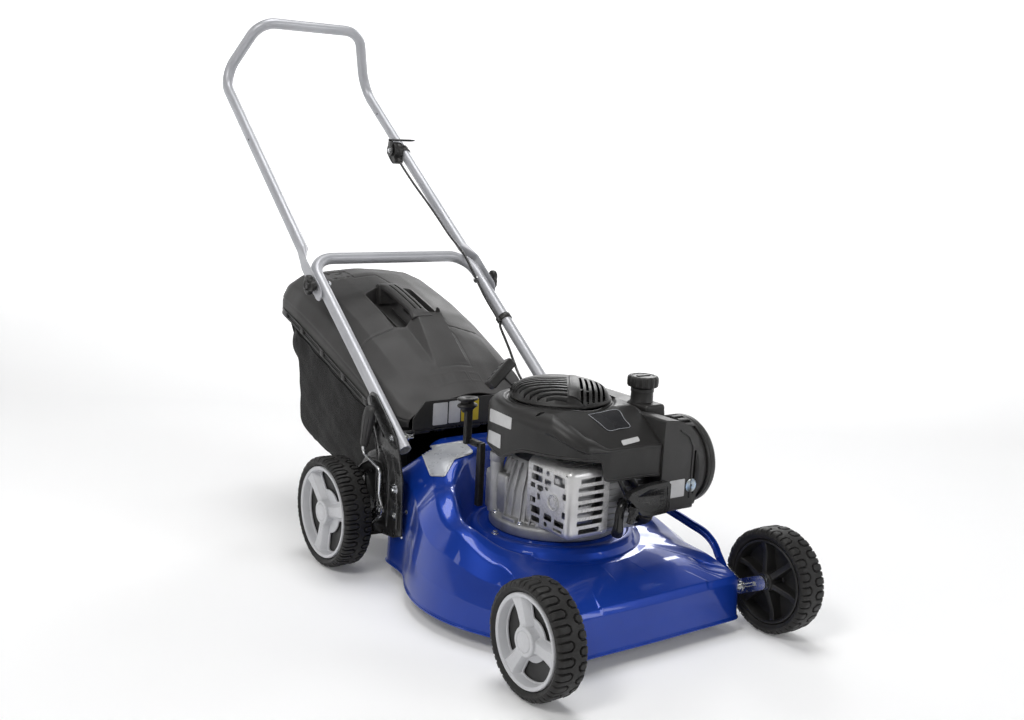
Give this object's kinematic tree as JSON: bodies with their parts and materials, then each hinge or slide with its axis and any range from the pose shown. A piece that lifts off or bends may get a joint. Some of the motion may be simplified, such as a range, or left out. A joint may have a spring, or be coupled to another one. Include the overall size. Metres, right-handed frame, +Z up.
{
  "type": "lawn mower",
  "caption": "Walk-behind petrol rotary lawn mower with a pressed steel deck, folding tubular handle, rear grass catcher and single-lever height adjustment.",
  "frame": {"origin": "on the ground, under the middle of the whole object's box", "axes": "+Z up, -Y towards the front of the mower, +Y towards the operator, +X to the operator's left"},
  "size_m": [0.557, 1.4108, 1.0136],
  "materials": {
    "deck_blue": "glossy metallic paint",
    "handle_silver": "satin powder coat",
    "black_plastic": "satin, fine grain",
    "catcher_grey": "fine grained",
    "bag_fabric": "woven polyester mesh",
    "tyre_rubber": "moulded lug tread",
    "hub_grey": "light grey plastic",
    "zinc": "bright zinc plate",
    "cast_aluminium": "as cast",
    "steel": "bare steel",
    "black_steel": "black powder coat",
    "filter_paper": "pleated paper"
  },
  "bodies": {
    "chassis": {"deck": "deck_blue", "handle_bracket_left": "black_steel", "handle_bracket_right": "black_steel", "height_notch_plate": "black_steel", "lower_handle": "handle_silver", "lower_handle_bolt_left": "zinc", "lower_handle_bolt_right": "zinc", "cable_clip": "black_plastic", "flap_rod": "zinc", "crankcase": "cast_aluminium", "muffler": "steel", "muffler_guard": "zinc", "blower_housing": "black_plastic", "recoil_cover": "black_plastic", "fuel_tank": "black_plastic", "air_cleaner_base": "black_plastic", "air_filter": "filter_paper", "air_cleaner_cover": "black_plastic", "carburettor": "cast_aluminium", "oil_fill_tube": "black_plastic", "spark_plug_boot": "black_plastic", "rope_guide": "black_plastic", "starter_rope": "black_plastic", "throttle_cable": "black_plastic", "fold_bolt_left": "zinc", "fold_bolt_right": "zinc"},
    "upper_handle": {"upper_handle": "handle_silver", "throttle_housing": "black_plastic"},
    "throttle_lever": {"throttle_lever": "black_plastic"},
    "star_knob_left": {"star_knob_left": "black_plastic"},
    "star_knob_right": {"star_knob_right": "black_plastic"},
    "rear_axle": {"rear_axle": "zinc", "height_lever": "zinc", "height_lever_grip": "black_plastic"},
    "front_axle": {"front_axle": "zinc"},
    "height_link_bar": {"height_link_bar": "deck_blue"},
    "wheel_front_left": {"tyre_front_left": "tyre_rubber", "rim_front_left": "hub_grey"},
    "wheel_front_right": {"tyre_front_right": "tyre_rubber", "rim_front_right": "hub_grey"},
    "wheel_rear_left": {"tyre_rear_left": "tyre_rubber", "rim_rear_left": "hub_grey"},
    "wheel_rear_right": {"tyre_rear_right": "tyre_rubber", "rim_rear_right": "hub_grey"},
    "rear_flap": {"rear_flap": "black_plastic"},
    "catcher": {"catcher_lid": "catcher_grey", "catcher_bag": "bag_fabric"},
    "crankshaft": {"crankshaft": "steel", "flywheel": "cast_aluminium", "blade_disc": "black_steel", "blade_bolt_a": "zinc", "blade_bolt_b": "zinc"},
    "swing_blade_a": {"swing_blade_a": "steel"},
    "swing_blade_b": {"swing_blade_b": "steel"},
    "starter_pulley": {"starter_pulley": "black_plastic"},
    "starter_grip": {"starter_grip": "black_plastic"},
    "fuel_cap": {"fuel_cap": "black_plastic"},
    "oil_dipstick": {"oil_dipstick": "black_plastic"}
  },
  "joints": [
    {"name": "handle_fold", "type": "hinge", "parent": "chassis", "child": "upper_handle", "pos_m": [0, 0.19425, 0.4884], "axis": [1, 0, 0], "range_deg": [0, 135], "deforming": ["throttle_cable"]},
    {"name": "throttle_lever_turn", "type": "hinge", "parent": "upper_handle", "child": "throttle_lever", "pos_m": [0.14718, 0.52293, 0.74101], "axis": [1, 0, 0], "range_deg": [0, 60]},
    {"name": "star_knob_left_turn", "type": "hinge", "parent": "chassis", "child": "star_knob_left", "pos_m": [0.205, 0.19425, 0.4884], "axis": [1, 0, 0], "continuous": true},
    {"name": "star_knob_right_turn", "type": "hinge", "parent": "chassis", "child": "star_knob_right", "pos_m": [-0.205, 0.19425, 0.4884], "axis": [-1, 0, 0], "continuous": true},
    {"name": "height_adjust", "type": "hinge", "parent": "chassis", "child": "rear_axle", "pos_m": [0, -0.04495, 0.0807], "axis": [-1, 0, 0], "range_deg": [0, 40]},
    {"name": "front_height", "type": "hinge", "parent": "chassis", "child": "front_axle", "pos_m": [0, -0.57325, 0.068], "axis": [1, 0, 0], "range_deg": [0, 40]},
    {"name": "link_bar_slide", "type": "slide", "parent": "chassis", "child": "height_link_bar", "axis": [0, -0.766, 0.6428], "range_m": [0, 0.02394]},
    {"name": "wheel_front_left_spin", "type": "hinge", "parent": "front_axle", "child": "wheel_front_left", "pos_m": [0.245, -0.61665, 0.0888], "axis": [1, 0, 0], "continuous": true},
    {"name": "wheel_front_right_spin", "type": "hinge", "parent": "front_axle", "child": "wheel_front_right", "pos_m": [-0.245, -0.61665, 0.0888], "axis": [1, 0, 0], "continuous": true},
    {"name": "wheel_rear_left_spin", "type": "hinge", "parent": "rear_axle", "child": "wheel_rear_left", "pos_m": [0.245, -0.00155, 0.1015], "axis": [1, 0, 0], "continuous": true},
    {"name": "wheel_rear_right_spin", "type": "hinge", "parent": "rear_axle", "child": "wheel_rear_right", "pos_m": [-0.245, -0.00155, 0.1015], "axis": [1, 0, 0], "continuous": true},
    {"name": "rear_flap_open", "type": "hinge", "parent": "chassis", "child": "rear_flap", "pos_m": [0, -0.06425, 0.252], "axis": [1, 0, 0], "range_deg": [0, 70]},
    {"name": "catcher_slide", "type": "slide", "parent": "chassis", "child": "catcher", "axis": [0, 1, 0], "range_m": [0, 0.2]},
    {"name": "engine_spin", "type": "hinge", "parent": "chassis", "child": "crankshaft", "pos_m": [0, -0.32725, 0.2], "axis": [0, 0, 1], "continuous": true},
    {"name": "swing_blade_a_turn", "type": "hinge", "parent": "crankshaft", "child": "swing_blade_a", "pos_m": [0.15, -0.32725, 0.0664], "axis": [0, 0, 1], "range_deg": [-60, 60]},
    {"name": "swing_blade_b_turn", "type": "hinge", "parent": "crankshaft", "child": "swing_blade_b", "pos_m": [-0.15, -0.32725, 0.0664], "axis": [0, 0, 1], "range_deg": [-60, 60]},
    {"name": "starter_pulley_turn", "type": "hinge", "parent": "chassis", "child": "starter_pulley", "pos_m": [0, -0.32725, 0.351], "axis": [0, 0, 1], "range_deg": [0, 765]},
    {"name": "starter_pull", "type": "slide", "parent": "chassis", "child": "starter_grip", "axis": [-0.6211, 0.4208, 0.6612], "range_m": [0, 0.4], "deforming": ["starter_rope"]},
    {"name": "fuel_cap_turn", "type": "hinge", "parent": "chassis", "child": "fuel_cap", "pos_m": [0.129, -0.38925, 0.39], "axis": [0, 0, 1], "range_deg": [0, 120]},
    {"name": "oil_dipstick_out", "type": "slide", "parent": "chassis", "child": "oil_dipstick", "axis": [0, -0.5, 0.866], "range_m": [0, 0.12]}
  ],
  "couplings": [
    {"joint": "front_height", "follows": "height_adjust", "ratio": 1},
    {"joint": "link_bar_slide", "follows": "height_adjust", "m_per_rad": 0.034288},
    {"joint": "starter_pulley_turn", "follows": "starter_pull", "rad_per_m": 33}
  ]
}
